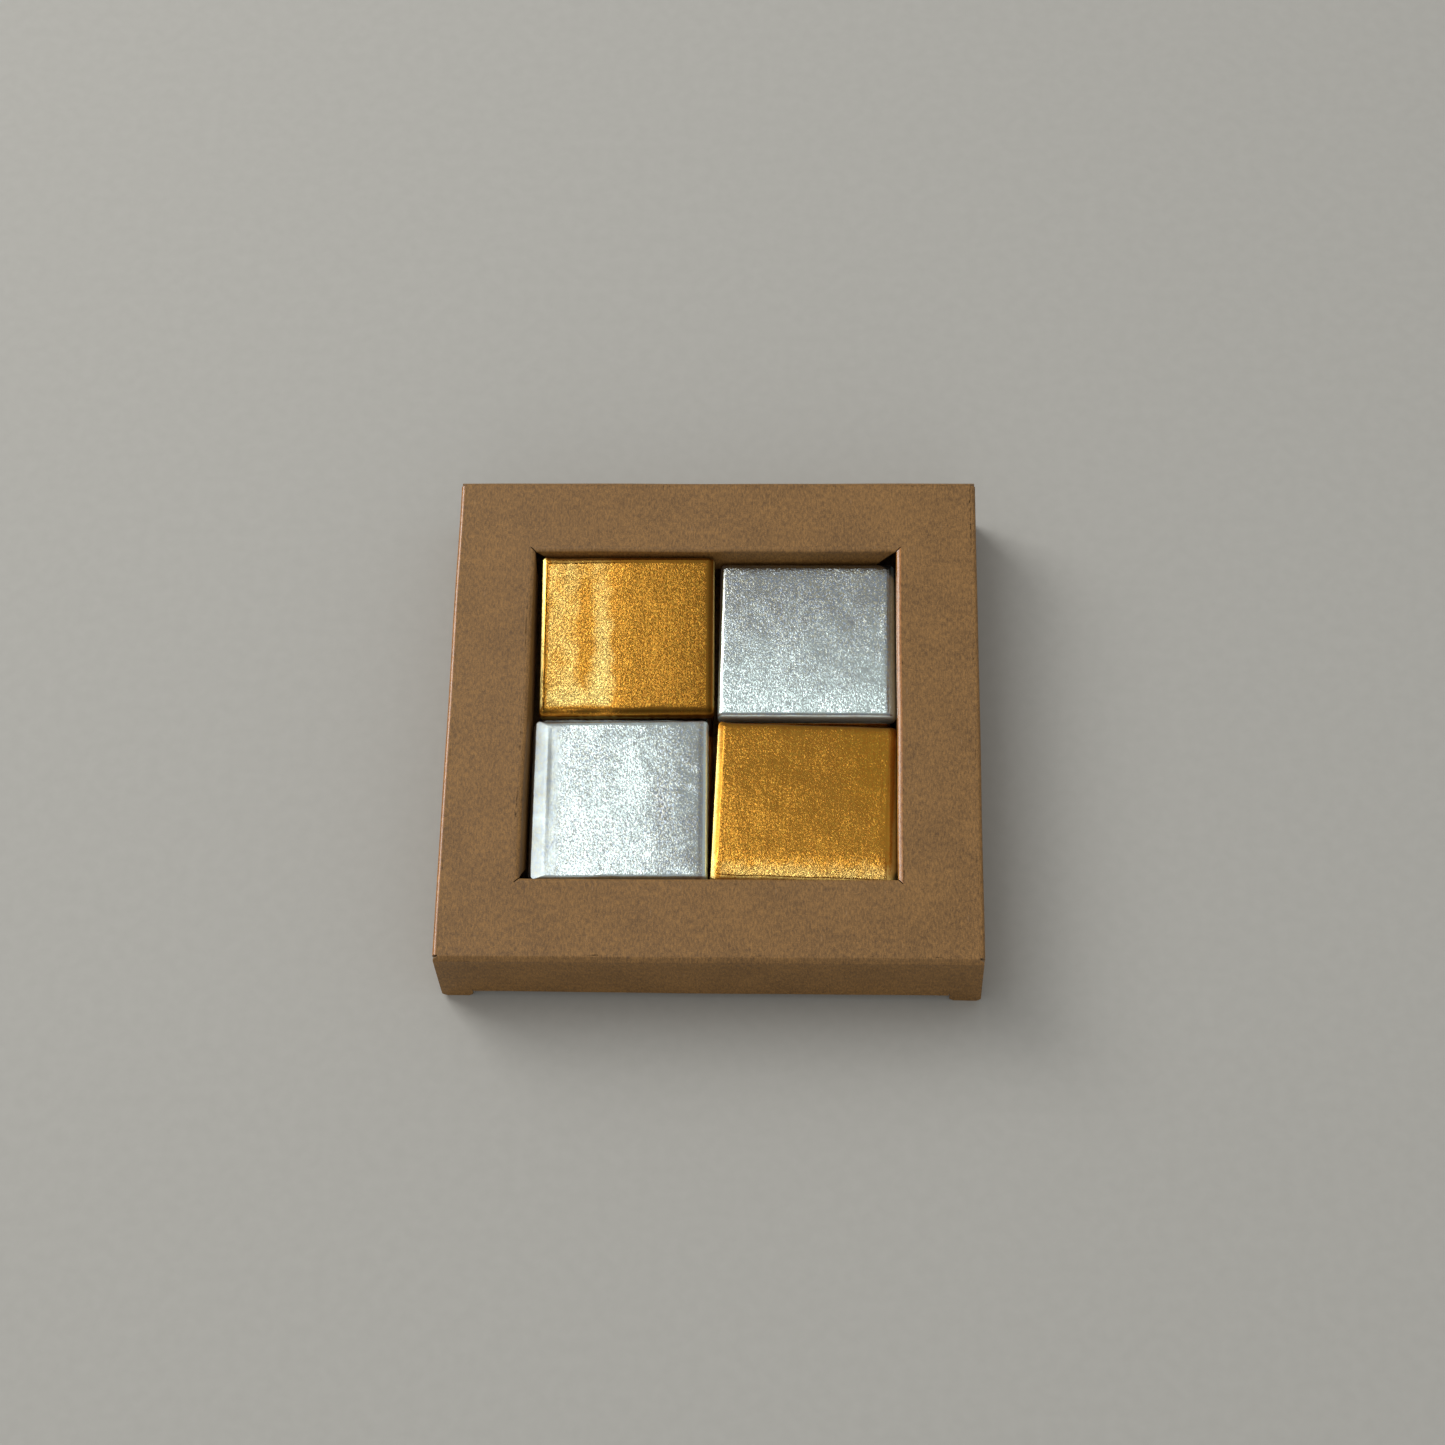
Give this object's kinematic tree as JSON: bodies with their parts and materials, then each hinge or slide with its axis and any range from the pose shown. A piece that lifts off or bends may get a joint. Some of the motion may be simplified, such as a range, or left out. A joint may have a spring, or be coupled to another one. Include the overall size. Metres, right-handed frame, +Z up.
{
  "type": "gift box",
  "caption": "Shallow square kraft board gift box with a square window in its top, tuck-in ends and stacked foil-wrapped chocolate squares.",
  "frame": {"origin": "centre of the footprint, on the table", "axes": "+Z up, front closure towards -Y, left wall towards -X"},
  "size_m": [0.1, 0.1, 0.017],
  "materials": {
    "kraft_board": "matt",
    "gold_foil": "crinkled foil, gold",
    "silver_foil": "crinkled foil, silver",
    "chocolate": "smooth"
  },
  "bodies": {
    "carton": {"top_panel": "kraft_board", "left_wall": "kraft_board", "right_wall": "kraft_board", "bottom_panel": "kraft_board", "glue_flap": "kraft_board"},
    "window_flap_front": {"window_flap_front": "kraft_board"},
    "window_flap_right": {"window_flap_right": "kraft_board"},
    "window_flap_back": {"window_flap_back": "kraft_board"},
    "window_flap_left": {"window_flap_left": "kraft_board"},
    "front_closure": {"front_closure": "kraft_board"},
    "front_tuck_flap": {"front_tuck_flap": "kraft_board"},
    "front_dust_flap_left": {"front_dust_flap_left": "kraft_board"},
    "front_dust_flap_right": {"front_dust_flap_right": "kraft_board"},
    "back_closure": {"back_closure": "kraft_board"},
    "back_tuck_flap": {"back_tuck_flap": "kraft_board"},
    "back_dust_flap_left": {"back_dust_flap_left": "kraft_board"},
    "back_dust_flap_right": {"back_dust_flap_right": "kraft_board"},
    "square_bottom_back_left": {"foil_wrapper_bottom_back_left": "gold_foil", "chocolate_bottom_back_left": "chocolate"},
    "square_middle_back_left": {"foil_wrapper_middle_back_left": "silver_foil", "chocolate_middle_back_left": "chocolate"},
    "square_top_back_left": {"foil_wrapper_top_back_left": "gold_foil", "chocolate_top_back_left": "chocolate"},
    "square_bottom_back_right": {"foil_wrapper_bottom_back_right": "silver_foil", "chocolate_bottom_back_right": "chocolate"},
    "square_middle_back_right": {"foil_wrapper_middle_back_right": "gold_foil", "chocolate_middle_back_right": "chocolate"},
    "square_top_back_right": {"foil_wrapper_top_back_right": "silver_foil", "chocolate_top_back_right": "chocolate"},
    "square_bottom_front_left": {"foil_wrapper_bottom_front_left": "silver_foil", "chocolate_bottom_front_left": "chocolate"},
    "square_middle_front_left": {"foil_wrapper_middle_front_left": "gold_foil", "chocolate_middle_front_left": "chocolate"},
    "square_top_front_left": {"foil_wrapper_top_front_left": "silver_foil", "chocolate_top_front_left": "chocolate"},
    "square_bottom_front_right": {"foil_wrapper_bottom_front_right": "gold_foil", "chocolate_bottom_front_right": "chocolate"},
    "square_middle_front_right": {"foil_wrapper_middle_front_right": "silver_foil", "chocolate_middle_front_right": "chocolate"},
    "square_top_front_right": {"foil_wrapper_top_front_right": "gold_foil", "chocolate_top_front_right": "chocolate"}
  },
  "joints": [
    {"name": "window_flap_front_crease", "type": "hinge", "parent": "carton", "child": "window_flap_front", "pos_m": [-0.00022, -0.03436, 0.01649], "axis": [-1, 0, 0], "range_deg": [0, 60]},
    {"name": "window_flap_right_crease", "type": "hinge", "parent": "carton", "child": "window_flap_right", "pos_m": [0.03501, 0.0003, 0.01649], "axis": [0, -1, 0], "range_deg": [0, 60]},
    {"name": "window_flap_back_crease", "type": "hinge", "parent": "carton", "child": "window_flap_back", "pos_m": [-0.00022, 0.03496, 0.01649], "axis": [1, 0, 0], "range_deg": [0, 60]},
    {"name": "window_flap_left_crease", "type": "hinge", "parent": "carton", "child": "window_flap_left", "pos_m": [-0.03545, 0.0003, 0.01649], "axis": [0, 1, 0], "range_deg": [0, 60]},
    {"name": "front_closure_crease", "type": "hinge", "parent": "carton", "child": "front_closure", "pos_m": [0, -0.04981, 0.01681], "axis": [-1, 0, 0], "range_deg": [0, 110]},
    {"name": "front_tuck_flap_crease", "type": "hinge", "parent": "front_closure", "child": "front_tuck_flap", "pos_m": [0, -0.04972, 0.0018], "axis": [-1, 0, 0], "range_deg": [0, 16.5]},
    {"name": "front_dust_flap_left_crease", "type": "hinge", "parent": "carton", "child": "front_dust_flap_left", "pos_m": [-0.04949, -0.04884, 0], "axis": [0, 0, 1], "range_deg": [0, 30]},
    {"name": "front_dust_flap_right_crease", "type": "hinge", "parent": "carton", "child": "front_dust_flap_right", "pos_m": [0.04949, -0.04884, 0], "axis": [0, 0, -1], "range_deg": [0, 30]},
    {"name": "back_closure_crease", "type": "hinge", "parent": "carton", "child": "back_closure", "pos_m": [0, 0.04981, 0.01681], "axis": [1, 0, 0], "range_deg": [0, 110]},
    {"name": "back_tuck_flap_crease", "type": "hinge", "parent": "back_closure", "child": "back_tuck_flap", "pos_m": [0, 0.04972, 0.0018], "axis": [1, 0, 0], "range_deg": [0, 16.5]},
    {"name": "back_dust_flap_left_crease", "type": "hinge", "parent": "carton", "child": "back_dust_flap_left", "pos_m": [-0.04949, 0.04884, 0], "axis": [0, 0, -1], "range_deg": [0, 30]},
    {"name": "back_dust_flap_right_crease", "type": "hinge", "parent": "carton", "child": "back_dust_flap_right", "pos_m": [0.04949, 0.04884, 0], "axis": [0, 0, 1], "range_deg": [0, 30]},
    {"name": "square_bottom_back_left_lift", "type": "slide", "parent": "carton", "child": "square_bottom_back_left", "axis": [0, 0, 1], "range_m": [0, 0.025]},
    {"name": "square_middle_back_left_lift", "type": "slide", "parent": "square_bottom_back_left", "child": "square_middle_back_left", "axis": [0, 0, 1], "range_m": [0, 0.025]},
    {"name": "square_top_back_left_lift", "type": "slide", "parent": "square_middle_back_left", "child": "square_top_back_left", "axis": [0, 0, 1], "range_m": [0, 0.025]},
    {"name": "square_bottom_back_right_lift", "type": "slide", "parent": "carton", "child": "square_bottom_back_right", "axis": [0, 0, 1], "range_m": [0, 0.025]},
    {"name": "square_middle_back_right_lift", "type": "slide", "parent": "square_bottom_back_right", "child": "square_middle_back_right", "axis": [0, 0, 1], "range_m": [0, 0.025]},
    {"name": "square_top_back_right_lift", "type": "slide", "parent": "square_middle_back_right", "child": "square_top_back_right", "axis": [0, 0, 1], "range_m": [0, 0.025]},
    {"name": "square_bottom_front_left_lift", "type": "slide", "parent": "carton", "child": "square_bottom_front_left", "axis": [0, 0, 1], "range_m": [0, 0.025]},
    {"name": "square_middle_front_left_lift", "type": "slide", "parent": "square_bottom_front_left", "child": "square_middle_front_left", "axis": [0, 0, 1], "range_m": [0, 0.025]},
    {"name": "square_top_front_left_lift", "type": "slide", "parent": "square_middle_front_left", "child": "square_top_front_left", "axis": [0, 0, 1], "range_m": [0, 0.025]},
    {"name": "square_bottom_front_right_lift", "type": "slide", "parent": "carton", "child": "square_bottom_front_right", "axis": [0, 0, 1], "range_m": [0, 0.025]},
    {"name": "square_middle_front_right_lift", "type": "slide", "parent": "square_bottom_front_right", "child": "square_middle_front_right", "axis": [0, 0, 1], "range_m": [0, 0.025]},
    {"name": "square_top_front_right_lift", "type": "slide", "parent": "square_middle_front_right", "child": "square_top_front_right", "axis": [0, 0, 1], "range_m": [0, 0.025]}
  ],
  "couplings": [
    {"joint": "front_tuck_flap_crease", "follows": "front_closure_crease", "ratio": 0.15},
    {"joint": "back_tuck_flap_crease", "follows": "back_closure_crease", "ratio": 0.15}
  ]
}
